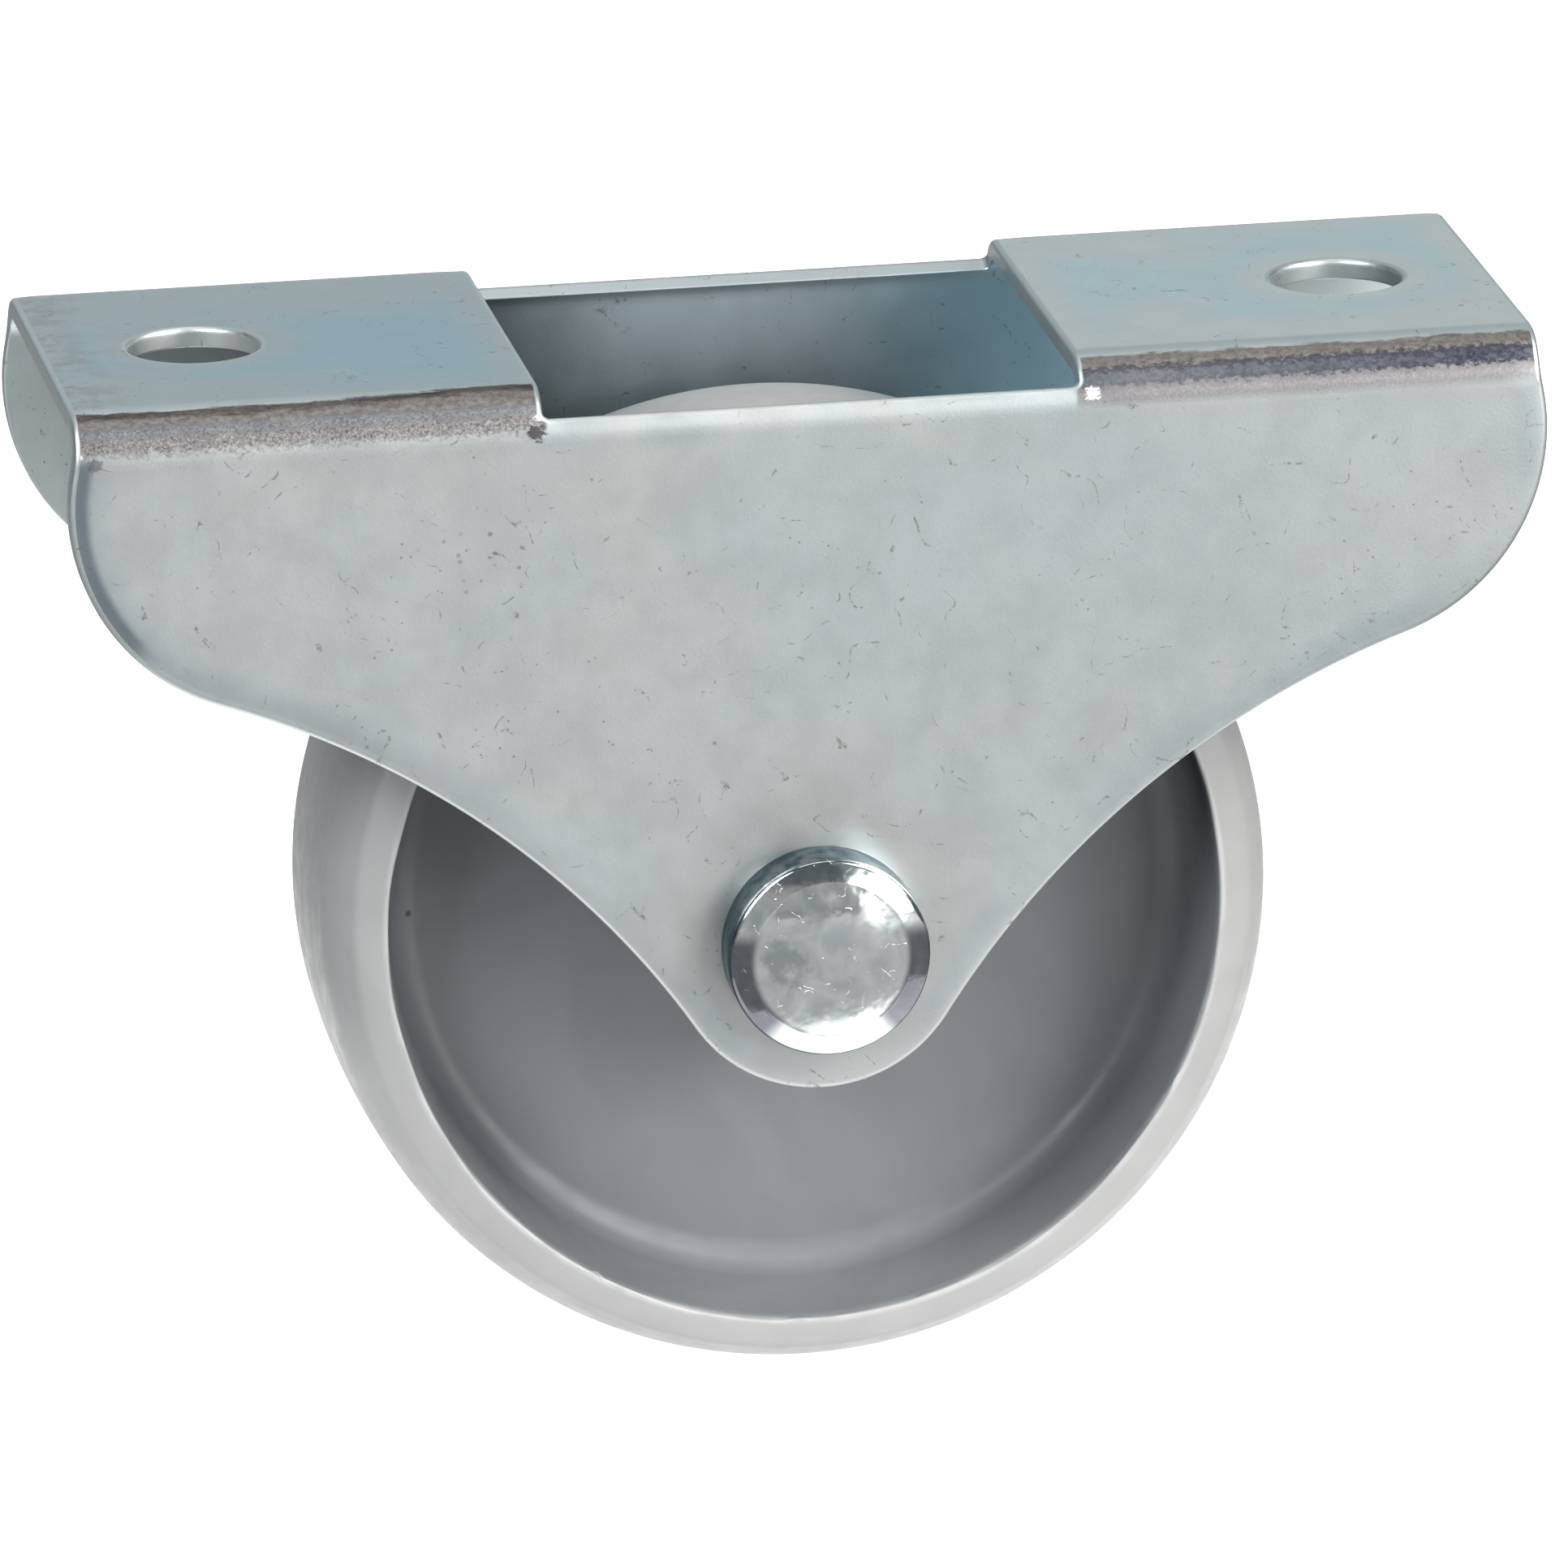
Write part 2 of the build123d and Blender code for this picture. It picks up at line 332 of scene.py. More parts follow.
def make_bracket():
    """The bracket: a flat sheet with a window and four holes, triangulated, made thick and folded."""
    loops, rolled = sheet_loops()
    rings = edge_rings()
    first = [loop + inward(loop) * rings[0][0] for loop in loops]
    starts = np.cumsum([0] + [len(loop) for loop in first])
    flat = np.vstack(first + [inner_points(loops, rolled, first)])
    triangles = triangulated(flat, starts, first)

    # How far each point of the outer side sinks in the die roll
    gap = np.full(len(flat), EDGE_REACH)
    for loop, is_rolled in zip(loops, rolled):
        if is_rolled:
            gap = np.minimum(gap, distance(flat, loop))
    sink = DIE_ROLL_DEPTH * np.maximum(1 - gap / DIE_ROLL_WIDTH, 0) ** 2

    # Vertices: the outer side, the rings of each cut edge, then the inner side
    places, faces = [fold(flat[:, 0], flat[:, 1], sink)], [tuple(t) for t in triangles]
    edge_mark, across = [np.zeros(len(flat))], [flat]
    side_mark, edge_gap = [np.zeros(len(flat))], [gap]
    total = len(flat)
    last_ring = {}
    for number, (start, loop) in enumerate(zip(starts, loops)):
        roll = DIE_ROLL_DEPTH if rolled[number] else 0
        count = len(loop)
        before = start + np.arange(count)
        for inset, depth in rings[1:]:
            line = loop + inward(loop) * inset
            deeper = np.maximum(depth, roll * (1 - inset / DIE_ROLL_WIDTH) ** 2 + depth * (1 - roll))
            places.append(fold(line[:, 0], line[:, 1], np.minimum(deeper, SHEET)))
            edge_mark.append(np.ones(count))
            across.append(line)
            side_mark.append(np.full(count, depth / SHEET))
            edge_gap.append(np.zeros(count))
            now = total + np.arange(count)
            faces += [
                (before[i], now[i], now[(i + 1) % count], before[(i + 1) % count]) for i in range(count)
            ]
            before, total = now, total + count
        last_ring[number] = before
    inner_of = np.arange(total, total + len(flat))
    for number, start in enumerate(starts[:-1]):
        inner_of[start:starts[number + 1]] = last_ring[number]
    places.append(fold(flat[:, 0], flat[:, 1], np.full(len(flat), SHEET)))
    edge_mark.append(np.zeros(len(flat)))
    across.append(flat)
    side_mark.append(np.ones(len(flat)))
    edge_gap.append(gap)
    faces += [tuple(inner_of[t][::-1]) for t in triangles]

    places = np.vstack(places)
    mesh = bpy.data.meshes.new("bracket_sheet")
    mesh.from_pydata(places.tolist(), [], [tuple(int(i) for i in face) for face in faces])
    flat_places = np.vstack(across)
    for name, values in (
        ("fold_angle", np.clip((np.abs(flat_places[:, 1]) - FLAT_HALF) / BEND_RUN, 0, 1)),
        ("cut_edge", np.concatenate(edge_mark)),
        ("inner_side", np.concatenate(side_mark)),
        ("edge_gap", np.concatenate(edge_gap)),
    ):
        attribute = mesh.attributes.new(name, "FLOAT", "POINT")
        attribute.data.foreach_set("value", values.astype(np.float32))
    attribute = mesh.attributes.new("flat_place", "FLOAT_VECTOR", "POINT")
    flat_places = np.c_[flat_places, np.zeros(len(flat_places))]
    attribute.data.foreach_set("vector", flat_places.astype(np.float32).ravel())
    # The inner side's own copies of the ring points are loose, so they go
    shape = bmesh.new()
    shape.from_mesh(mesh)
    bmesh.ops.delete(shape, geom=[v for v in shape.verts if not v.link_faces], context="VERTS")
    shape.to_mesh(mesh)
    shape.free()
    return as_object("bracket_sheet", mesh)


def lathe(name, profile, segments, radial=None):
    """A body of revolution about the axle. profile holds (place along +Y, distance from the axle) pairs."""
    profile = np.array(profile, float)
    turns = np.linspace(0, 2 * math.pi, segments, endpoint=False)
    places, rows = [], []
    for along, radius in profile:
        if radius < SAME_POINT:
            rows.append([len(places)] * segments)
            places.append((0, along, axle_z))
            continue
        shift = radial(along, radius, turns) if radial else 0
        rows.append(list(range(len(places), len(places) + segments)))
        ring = radius + shift
        circle = np.c_[ring * np.sin(turns), np.full(segments, along), axle_z + ring * np.cos(turns)]
        places += circle.tolist()
    faces = []
    for one, two in zip(rows, rows[1:]):
        for i in range(segments):
            j = (i + 1) % segments
            faces.append(list(dict.fromkeys((one[i], one[j], two[j], two[i]))))
    mesh = bpy.data.meshes.new(name)
    mesh.from_pydata(places, [], faces)
    shape = bmesh.new()
    shape.from_mesh(mesh)
    bmesh.ops.recalc_face_normals(shape, faces=shape.faces)
    shape.to_mesh(mesh)
    shape.free()
    return as_object(name, mesh)


def rounded(points, radii, step=ROUNDING_STEP):
    """A line through points whose corners are rounded to the given radii, as points."""
    points = [np.array(p, float) for p in points]
    line = [points[0]]
    for before, here, after, radius in zip(points, points[1:], points[2:], radii):
        inn = (before - here) / np.linalg.norm(before - here)
        out = (after - here) / np.linalg.norm(after - here)
        half = math.acos(np.clip(inn @ out, -1, 1)) / 2
        back = radius / math.tan(half)
        centre = here + (inn + out) / np.linalg.norm(inn + out) * radius / math.sin(half)
        start, stop = here + inn * back, here + out * back
        a = math.atan2(*(start - centre)[::-1])
        b = math.atan2(*(stop - centre)[::-1])
        turn = (b - a + math.pi) % (2 * math.pi) - math.pi
        count = max(3, math.ceil(abs(turn) * radius / step))
        line += [centre + radius * np.array([math.cos(a + turn * k / count), math.sin(a + turn * k / count)])
                 for k in range(count + 1)]
    line.append(points[-1])
    return line


# Wheel section
RIM_HALF = 7.2
TREAD_HALF = 3.7
TREAD_CROWN = 0.1
SHOULDER_HALF = 6.6
SHOULDER_RADIUS = 18.9
SHOULDER_ROUNDING = 0.8
MOUTH_RADIUS = 17.5
ROOT_RADIUS = 16.7
WEB_HALF = 1.9
HUB_RADIUS = 4.2
HUB_DRAFT = 0.3
BORE_RADIUS = 2.58
HUB_EDGE_ROUNDING = 0.3
HUB_ROOT_FILLET = 0.8
RECESS_ROOT_FILLET = 1.4
MOUTH_ROUNDING = 0.1
SHOULDER_POINTS = 12
CROWN_POINTS = 7
WHEEL_SEGMENTS = 480

# The shoulder's rounding leaves towards a point this far beyond the tread's edge
SHOULDER_RUN = 0.9

# Depths below the mouth where the recess wall has rings for the flash to end on, with hardly any rounding
WALL_RINGS = (0.6, 0.4, 0.25)
WALL_RING_ROUNDING = 0.01


def wall_at(depth):
    """A point on the wall of the recess at a depth below its mouth."""
    share = depth / (RIM_HALF - WEB_HALF)
    return (RIM_HALF - depth, MOUTH_RADIUS + share * (ROOT_RADIUS - MOUTH_RADIUS))


def wheel_half_section():
    """Half of the wheel's section, from the bore to the middle of the tread."""
    corners = [
        ((hub_half, BORE_RADIUS), HUB_EDGE_ROUNDING),
        ((hub_half, HUB_RADIUS), HUB_EDGE_ROUNDING),
        ((WEB_HALF, HUB_RADIUS + HUB_DRAFT), HUB_ROOT_FILLET),
        ((WEB_HALF, ROOT_RADIUS), RECESS_ROOT_FILLET),
        *((wall_at(depth), WALL_RING_ROUNDING) for depth in WALL_RINGS),
        ((RIM_HALF, MOUTH_RADIUS), MOUTH_ROUNDING),
        ((SHOULDER_HALF, SHOULDER_RADIUS), SHOULDER_ROUNDING),
    ]
    points, radii = zip(*corners)
    last = (TREAD_HALF + SHOULDER_RUN, wheel_radius - TREAD_CROWN * 2)
    recess = rounded([(0, BORE_RADIUS), *points, last], radii)[:-1]
    start = np.array([TREAD_HALF, wheel_radius - TREAD_CROWN])
    drop = recess[-1] - start
    radius = (drop @ drop) / (-2 * drop[1])
    stop = math.atan2(drop[1] + radius, drop[0])
    angles = np.linspace(stop, math.pi / 2, SHOULDER_POINTS)
    shoulder = [start + radius * np.array([math.cos(a), math.sin(a) - 1]) for a in angles]
    along = np.linspace(TREAD_HALF, 0, CROWN_POINTS)[1:]
    crown = [(y, wheel_radius - TREAD_CROWN * (y / TREAD_HALF) ** 2) for y in along]
    return [tuple(p) for p in recess + shoulder[1:] + crown]


# Flash left on the front mouth of the recess: angle from straight down, half width and height
FLASH = ((-31.3, 0.8, 0.14), (-30.0, 0.5, -0.03), (-2.0, 1.4, 0.13), (15.8, 0.7, 0.10), (62.1, 0.9, 0.10))
# The mouth also waves a little: height, and number of waves all the way round
MOUTH_WAVES = ((0.03, 9), (0.02, 23))
# How far flash and waves reach down the wall and out over the rim, and how far outward they may stand
FLASH_DEPTH = 0.3
FLASH_OVER_RIM = 0.12
FLASH_LOWEST = -0.03


def flash(along, radius, turns):
    """How far the front mouth of the recess stands inward, in millimetres."""
    if along > -RIM_HALF + FLASH_DEPTH or radius > MOUTH_RADIUS + FLASH_OVER_RIM:
        return 0
    down = np.degrees(turns - math.pi)
    shift = sum(height * np.sin(turns * count) for height, count in MOUTH_WAVES)
    for place, width, height in FLASH:
        shift = shift + height * np.exp(-(((down + place) / width) ** 2))
    return -np.maximum(shift, FLASH_LOWEST)


def make_wheel():
    half = wheel_half_section()
    whole = [(-y, r) for y, r in half] + half[-2::-1]
    return lathe("wheel_moulding", whole, WHEEL_SEGMENTS, flash)


def make_rivet():
    head_radius = rivet_high.x
    front, back = -rivet_low.y, rivet_high.y
    ring = -front + HEAD_FACE_RISE
    corners = [(-half_width, SHANK_RADIUS), (-half_width, head_radius), (ring + HEAD_BEVEL_DROP, head_radius),
               (ring, HEAD_FACE_RADIUS), (-front, 0)]
    drum = rounded(corners, [HEAD_FOOT_ROUNDING, HEAD_EDGE_ROUNDING, HEAD_BEVEL_ROUNDING], HEAD_STEP)[:-1]
    edge, rise = drum[-1][1], drum[-1][0] + front
    face = [(-front + rise * (r / edge) ** 2, r) for r in np.linspace(edge, 0, HEAD_FACE_RINGS)[1:]]
    corners = [(half_width, TAIL_RADIUS), (half_width, FORMED_HEAD_RADIUS), (back, FORMED_HEAD_RADIUS),
               (back, 0)]
    button = rounded(corners, [HEAD_FOOT_ROUNDING, FORMED_HEAD_ROUNDING], FORMED_HEAD_STEP)
    line = [tuple(p) for p in face[::-1] + drum[::-1]]
    line += [(half_width - SHEET, SHANK_RADIUS), (half_width - SHEET, TAIL_RADIUS)]
    line += [tuple(p) for p in button]
    return lathe("axle_rivet_turned", line, RIVET_SEGMENTS)


# Node materials
class Nodes:
    """Short ways to add nodes to one tree. A value is either a constant or another node's socket."""

    def __init__(self, tree):
        self.tree = tree

    def new(self, kind, **settings):
        made = self.tree.nodes.new("ShaderNode" + kind)
        for name, value in settings.items():
            setattr(made, name, value)
        return made

    def put(self, socket, value):
        if isinstance(value, bpy.types.NodeSocket):
            self.tree.links.new(value, socket)
        else:
            socket.default_value = value

    def parts(self, vector):
        made = self.new("SeparateXYZ")
        self.put(made.inputs[0], vector)
        return made.outputs

    def math(self, operation, a, b=0.0):
        made = self.new("Math", operation=operation)
        for socket, value in zip(made.inputs, (a, b)):
            self.put(socket, value)
        return made.outputs[0]

    def all_of(self, *shares):
        product = shares[0]
        for share in shares[1:]:
            product = self.math("MULTIPLY", product, share)
        return product

    def span(self, value, low, high, out_low=0.0, out_high=1.0, smooth=True):
        """Maps low..high to out_low..out_high, held at both ends."""
        made = self.new("MapRange", interpolation_type="SMOOTHSTEP" if smooth else "LINEAR")
        self.put(made.inputs["Value"], value)
        limits = {"From Min": low, "From Max": high, "To Min": out_low, "To Max": out_high}
        for name, number in limits.items():
            self.put(made.inputs[name], number)
        return made.outputs["Result"]

    def fade(self, value, low, high):
        """1 up to a low value, 0 from a high one."""
        return self.span(value, low, high, 1.0, 0.0)

    def mix(self, share, one, two):
        """A colour between two colours."""
        made = self.new("Mix", data_type="RGBA")
        self.put(made.inputs["Factor"], share)
        for name, value in (("A", one), ("B", two)):
            socket = next(s for s in made.inputs if s.name == name and s.type == "RGBA")
            self.put(socket, value if isinstance(value, bpy.types.NodeSocket) else (*value, 1.0))
        return next(s for s in made.outputs if s.type == "RGBA")

    def mix_value(self, share, one, two):
        """A number between two numbers."""
        return self.math("ADD", one, self.math("MULTIPLY", share, self.math("SUBTRACT", two, one)))


class Shader(Nodes):
    """One material, with its places in millimetres."""

    def __init__(self, name):
        self.material = bpy.data.materials.new(name)
        self.material.use_nodes = True
        super().__init__(self.material.node_tree)
        self.surface = self.tree.nodes["Principled BSDF"]
        scale = self.new("VectorMath", operation="SCALE")
        self.put(scale.inputs[0], self.new("TexCoord").outputs["Object"])
        self.put(scale.inputs["Scale"], 1 / MM)
        self.place = scale.outputs[0]

    def set(self, **values):
        for name, value in values.items():
            self.surface.inputs[name.replace("_", " ")].default_value = value

    def feed(self, name, source):
        self.tree.links.new(source, self.surface.inputs[name])

    def attribute(self, name, output="Fac"):
        return self.new("Attribute", attribute_name=name).outputs[output]

    def stretched(self, x, y, z, turn=(0, 0, 0)):
        """The place, scaled along each axis and turned, for textures that run one way."""
        made = self.new("Mapping")
        for name, value in (("Vector", self.place), ("Scale", (x, y, z)), ("Rotation", turn)):
            self.put(made.inputs[name], value)
        return made.outputs["Vector"]

    def noise(self, scale, detail=2.0, roughness=0.5, distortion=0.0, place=None):
        made = self.new("TexNoise")
        for name, value in (("Vector", place or self.place), ("Scale", scale), ("Detail", detail),
                            ("Roughness", roughness), ("Distortion", distortion)):
            self.put(made.inputs[name], value)
        return made.outputs["Fac"]

    def cells(self, scale):
        """How far a place is from the nearest of many scattered points."""
        made = self.new("TexVoronoi")
        self.put(made.inputs["Vector"], self.place)
        self.put(made.inputs["Scale"], scale)
        return made.outputs["Distance"]

    def radius(self):
        """Distance from the wheel's axle."""
        x, y, z = self.parts(self.place)
        rise = self.math("SUBTRACT", z, axle_z)
        square = self.math("ADD", self.math("MULTIPLY", x, x), self.math("MULTIPLY", rise, rise))
        return self.math("SQRT", square)

    def spot(self, x, y, place, size, where, rag, core=0.6):
        """A spot of a size about a place in a plane, ragged by a noise, solid out to a share of its size."""
        aside = self.math("POWER", self.math("SUBTRACT", x, place[0]), 2.0)
        above = self.math("POWER", self.math("SUBTRACT", y, place[1]), 2.0)
        away = self.math("SQRT", self.math("ADD", aside, above))
        away = self.math("ADD", away, self.span(rag, 0.3, 0.7, -size / 2, size / 2, False))
        return self.math("MULTIPLY", self.fade(away, size * core, size), where)

    def hairs(self, scale, width, cover, seed):
        """Thin curved lines in short runs, as fine scratches: 1 on a line, 0 elsewhere."""
        shifted = self.new("VectorMath", operation="ADD")
        self.put(shifted.inputs[0], self.place)
        self.put(shifted.inputs[1], (seed, 2 * seed, -seed))
        place = shifted.outputs[0]
        away = self.math("ABSOLUTE", self.math("SUBTRACT", self.noise(scale, 1.0, 0.5, 0.6, place), 0.5))
        where = self.span(self.noise(scale * 1.7, 1.0, 0.5, 0.0, place), cover, cover + 0.05)
        return self.math("MULTIPLY", self.fade(away, 0.0, width), where)

    def bump(self, height, distance, before=None):
        """A bump of a height in millimetres, on top of another bump where one is given."""
        made = self.new("Bump")
        self.put(made.inputs["Distance"], distance * MM)
        self.put(made.inputs["Height"], height)
        if before is not None:
            self.put(made.inputs["Normal"], before)
        return made.outputs["Normal"]


# Zinc plating
# Along the bracket: where the looks of its left half pass into those of its right half, the painted dark
# line at its left end, and the smear on the left tab
LEFT_TO_RIGHT = (-8.0, 8.0)
LEFT_END = (-28.5, -27.0)
SMEAR = (-30.0, -26.0)
# Along the bracket and across the flat sheet: a cluster of specks
BROWN_SPECKS = (-13.6, -16.6)
# Dark marks that the press left at the window's inner corners and on the left end, and pale spots there that
# are painted highlights (glints): place, size, share, colour
PRESS_MARKS_AND_GLINTS = (
    ((-11.45, -11.75), 0.42, 0.85, (0.05, 0.045, 0.05)),
    ((-11.3, -11.1), 0.22, 0.6, (0.80, 0.80, 0.78)),
    ((11.65, -11.5), 0.34, 0.9, (0.95, 0.96, 0.96)),
    ((-30.35, -11.55), 0.3, 0.8, (0.95, 0.96, 0.96)),
    ((-29.6, -12.0), 0.35, 0.6, (0.10, 0.09, 0.10)),
)


class ZincPlate(Shader):
    """Bright zinc plating with a thin bluish passivation, handled and scratched, with painted dark reflections
    along the folds.
    """

    def __init__(self):
        super().__init__("zinc_plate")
        self.x, self.across, _ = self.parts(self.attribute("flat_place", "Vector"))
        self.off_middle = self.math("ABSOLUTE", self.x)
        self.fold_at = self.attribute("fold_angle")
        self.gap = self.attribute("edge_gap")
        self.inner = self.span(self.attribute("inner_side"), 0.9, 1.0)
        self.outer = self.math("SUBTRACT", 1.0, self.math("MAXIMUM", self.inner, self.attribute("cut_edge")))
        self.near = self.fade(self.across, -1.0, 1.0)
        self.right = self.span(self.x, *LEFT_TO_RIGHT)
        self.left = self.math("SUBTRACT", 1.0, self.right)
        self.tab = self.math("MULTIPLY", self.fade(self.fold_at, 0.0, 0.12), self.outer)
        self.cloud = self.noise(0.09, 3.0, 0.55, 0.4)
        self.grit = self.noise(4.5, 3.0, 0.8, 0.3, self.stretched(0.7, 1.0, 1.0, (0, 0.5, 0)))

    def legs(self):
        """An even satin grey with a fine grain and warm patches, paler at the left, and painted shade round the
        rivet.
        """
        tint = self.mix(self.span(self.cloud, 0.35, 0.65), (0.448, 0.485, 0.491), (0.462, 0.488, 0.486))
        patches = self.noise(0.13, 2.0, 0.6, 1.0, self.stretched(1, 1, 1, (0.4, 1.1, 2.0)))
        warm = self.span(patches, 0.56, 0.76)
        tint = self.mix(self.math("MULTIPLY", warm, 0.22), tint, (0.58, 0.55, 0.47))
        fine = self.noise(5.0, 3.0, 0.7)
        tint = self.mix(self.span(fine, 0.35, 0.75, 0.0, 0.2), tint, (0.40, 0.43, 0.44))
        tint = self.mix(self.span(self.x, -30.0, 20.0, 0.3, 0.0), tint, (0.68, 0.70, 0.70))
        # Painted shade: the leg is darker round the rivet, over its foot
        return self.mix(self.span(self.radius(), 4.5, 9.0, 0.6, 0.0), tint, (0.42, 0.43, 0.42))

    def tabs(self, tint):
        """A blue-green film on the tabs, thin towards the folds and the ends, and darker on the left one."""
        film = self.mix(self.right, (0.36, 0.475, 0.52), (0.50, 0.60, 0.61))
        pale_film = self.mix(self.right, (0.44, 0.485, 0.495), (0.58, 0.60, 0.585))
        wander = self.span(self.cloud, 0.3, 0.7, -3.0, 3.0)
        middle = self.fade(self.math("ADD", self.math("ABSOLUTE", self.across), wander), 3.0, 8.0)
        film = self.mix(self.all_of(middle, self.span(self.gap, 0.4, 2.4)), pale_film, film)
        return self.mix(self.tab, tint, film)

    def inner_sides_painted_shade(self, tint):
        """The legs' inner sides: a bluish film, with painted shade beside the tabs, darkest by the left one, and
        painted light towards the ends.
        """
        # Painted shade beside the tabs, where their undersides shade the legs' inner sides; darkest by the left
        # tab
        shade_by_tabs = self.mix(self.right, (0.10, 0.125, 0.14), (0.38, 0.56, 0.64))
        inner_tint = self.mix(self.span(self.off_middle, 2.0, 13.0), (0.36, 0.43, 0.46), shade_by_tabs)
        # Painted light: paler towards the ends, where light comes in at the open ends
        inner_tint = self.mix(self.span(self.off_middle, 15.0, 22.0), inner_tint, (0.42, 0.46, 0.47))
        inner_tint = self.mix(self.span(self.off_middle, 25.0, 29.0), inner_tint, (0.60, 0.65, 0.65))
        return self.mix(self.math("MULTIPLY", self.inner, 0.95), tint, inner_tint)

    def folds(self, tint):
        """Painted reflection along each fold, where the bend would mirror a dark room: a brown band with frayed
        strands, then violet on the right and pink on the left.
        """
        strands = self.noise(2.0, 4.0, 0.8, 0.4, self.stretched(0.2, 1.0, 1.0))
        grain = self.noise(9.0, 3.0, 0.7)
        grains = self.span(self.noise(7.0, 3.0, 0.8, 0.5), 0.5, 0.62)
        # Places round the fold, 0 at the tab and 1 at the leg: straight, frayed into strands, and ragged
        beyond_flat = self.math("SUBTRACT", self.math("ABSOLUTE", self.across), FLAT_HALF)
        along = self.math("DIVIDE", beyond_flat, BEND_RUN)
        frayed = self.math("ADD", along, self.span(strands, 0.3, 0.7, -0.05, 0.05, False))
        ragged = self.math("ADD", along, self.span(self.grit, 0.3, 0.7, -0.06, 0.06, False))
        from_left_hole = self.math("ABSOLUTE", self.math("ADD", self.x, screw_spacing / 2))
        start = self.mix_value(self.right, self.span(from_left_hole, 3.0, 12.0, 0.24, 0.1), 0.27)
        into = self.math("SUBTRACT", frayed, start)

        band = self.math("MULTIPLY", self.outer, self.span(self.off_middle, WINDOW_HALF - 0.2, WINDOW_HALF))
        left, right = self.math("MULTIPLY", band, self.left), self.math("MULTIPLY", band, self.right)
        # The brown, upper, violet and pink bands are painted reflection of a dark room; steel and blush are
        # painted shade over the fold's highlights; chalk adds pale grain
        chalk = self.all_of(self.span(along, 0.8, 0.95), self.fade(along, 1.05, 1.35), band)
        brown = self.all_of(self.span(into, -0.03, 0.03), self.fade(ragged, 0.50, 0.60), band)
        upper = self.all_of(self.span(into, -0.03, 0.02), self.fade(into, 0.08, 0.2), left)
        steel = self.all_of(self.span(ragged, 0.46, 0.56), self.fade(ragged, 0.62, 0.74), left)
        violet = self.all_of(self.span(ragged, 0.44, 0.52), self.fade(ragged, 0.72, 0.84), right,
                             self.span(self.x, 11.0, 27.0, 0.80, 1.0, False))
        blush_painted_shade = self.all_of(self.span(ragged, 0.70, 0.78), self.fade(along, 0.90, 1.05), right)
        pink = self.all_of(self.span(ragged, 0.56, 0.70), self.fade(ragged, 0.78, 0.98), left)
        for share, cover, colour in (
            (chalk, self.span(grain, 0.42, 0.6, 0.0, 0.4), (0.46, 0.44, 0.42)),
            (brown, self.span(self.grit, 0.3, 0.7, 0.75, 1.0), (0.138, 0.116, 0.105)),
            (upper, self.span(strands, 0.35, 0.6, 0.9, 0.4), (0.05, 0.041, 0.037)),
            (steel, self.span(grain, 0.35, 0.6, 0.95, 0.6), (0.105, 0.114, 0.13)),
            (violet, self.span(self.grit, 0.35, 0.65, 1.0, 0.88), (0.038, 0.040, 0.058)),
            (blush_painted_shade, self.span(grain, 0.35, 0.6, 0.75, 0.95), (0.22, 0.205, 0.21)),
            (pink, self.span(grain, 0.35, 0.6, 0.4, 0.85), (0.18, 0.146, 0.141)),
            (pink, self.math("MULTIPLY", grains, 0.7), (0.075, 0.06, 0.063)),
        ):
            tint = self.mix(self.math("MULTIPLY", share, cover), tint, colour)
        return tint, brown

    def edges(self, tint):
        """A soft dark band just inside the edges of the near leg, and a darker line at its left end, both painted
        shade.
        """
        leg = self.all_of(self.span(self.fold_at, 0.85, 1.0), self.outer, self.near)
        # Painted shade just inside the rolled edges of the near leg
        rim = self.all_of(leg, self.span(self.gap, 0.25, 0.5), self.fade(self.gap, 0.7, 1.9),
                          self.span(self.noise(0.12, 1.0), 0.4, 0.6))
        tint = self.mix(self.math("MULTIPLY", rim, 0.4), tint, (0.33, 0.385, 0.42))
        # Painted shade: a darker line along the left end, standing for a wider rounding there
        end = self.all_of(leg, self.span(self.gap, 0.08, 0.2), self.fade(self.gap, 0.55, 0.95),
                          self.fade(self.x, *LEFT_END))
        return self.mix(self.math("MULTIPLY", end, 0.75), tint, (0.13, 0.165, 0.19))

    def marks(self, tint):
        """The press marks and painted highlights, and a brownish smear on the end of the left tab."""
        # The pale spots are painted highlights, the dark ones press marks
        for place, size, share, colour in PRESS_MARKS_AND_GLINTS:
            spot = self.spot(self.x, self.across, place, size, self.outer, self.grit)
            tint = self.mix(self.math("MULTIPLY", spot, share), tint, colour)
        streaks = self.span(self.noise(0.7, 5.0, 0.75), 0.42, 0.6)
        smear = self.all_of(self.fade(self.x, *SMEAR), self.tab, streaks)
        return self.mix(self.math("MULTIPLY", smear, 0.45), tint, (0.30, 0.275, 0.265))

    def scratches(self, tint):
        """Thin dark scratches, scattered specks and one cluster of brown specks."""
        broken = self.noise(2.8, 3.0, 0.8)
        dark = self.all_of(self.hairs(0.42, 0.012, 0.46, 37.0), self.span(broken, 0.5, 0.6), 0.7)
        tint = self.mix(dark, tint, (0.18, 0.155, 0.14))
        chosen = self.span(self.noise(0.16, 2.0, 0.6), 0.57, 0.61)
        speck = self.math("MULTIPLY", self.fade(self.cells(1.6), 0.05, 0.11), chosen)
        cluster = self.fade(self.cells(1.9), 0.12, 0.24)
        cluster = self.spot(self.x, self.across, BROWN_SPECKS, 2.6, cluster, broken, 0.3)
        speck = self.math("MAXIMUM", speck, self.math("MULTIPLY", cluster, self.outer))
        return self.mix(self.math("MULTIPLY", speck, 0.6), tint, (0.17, 0.135, 0.11))


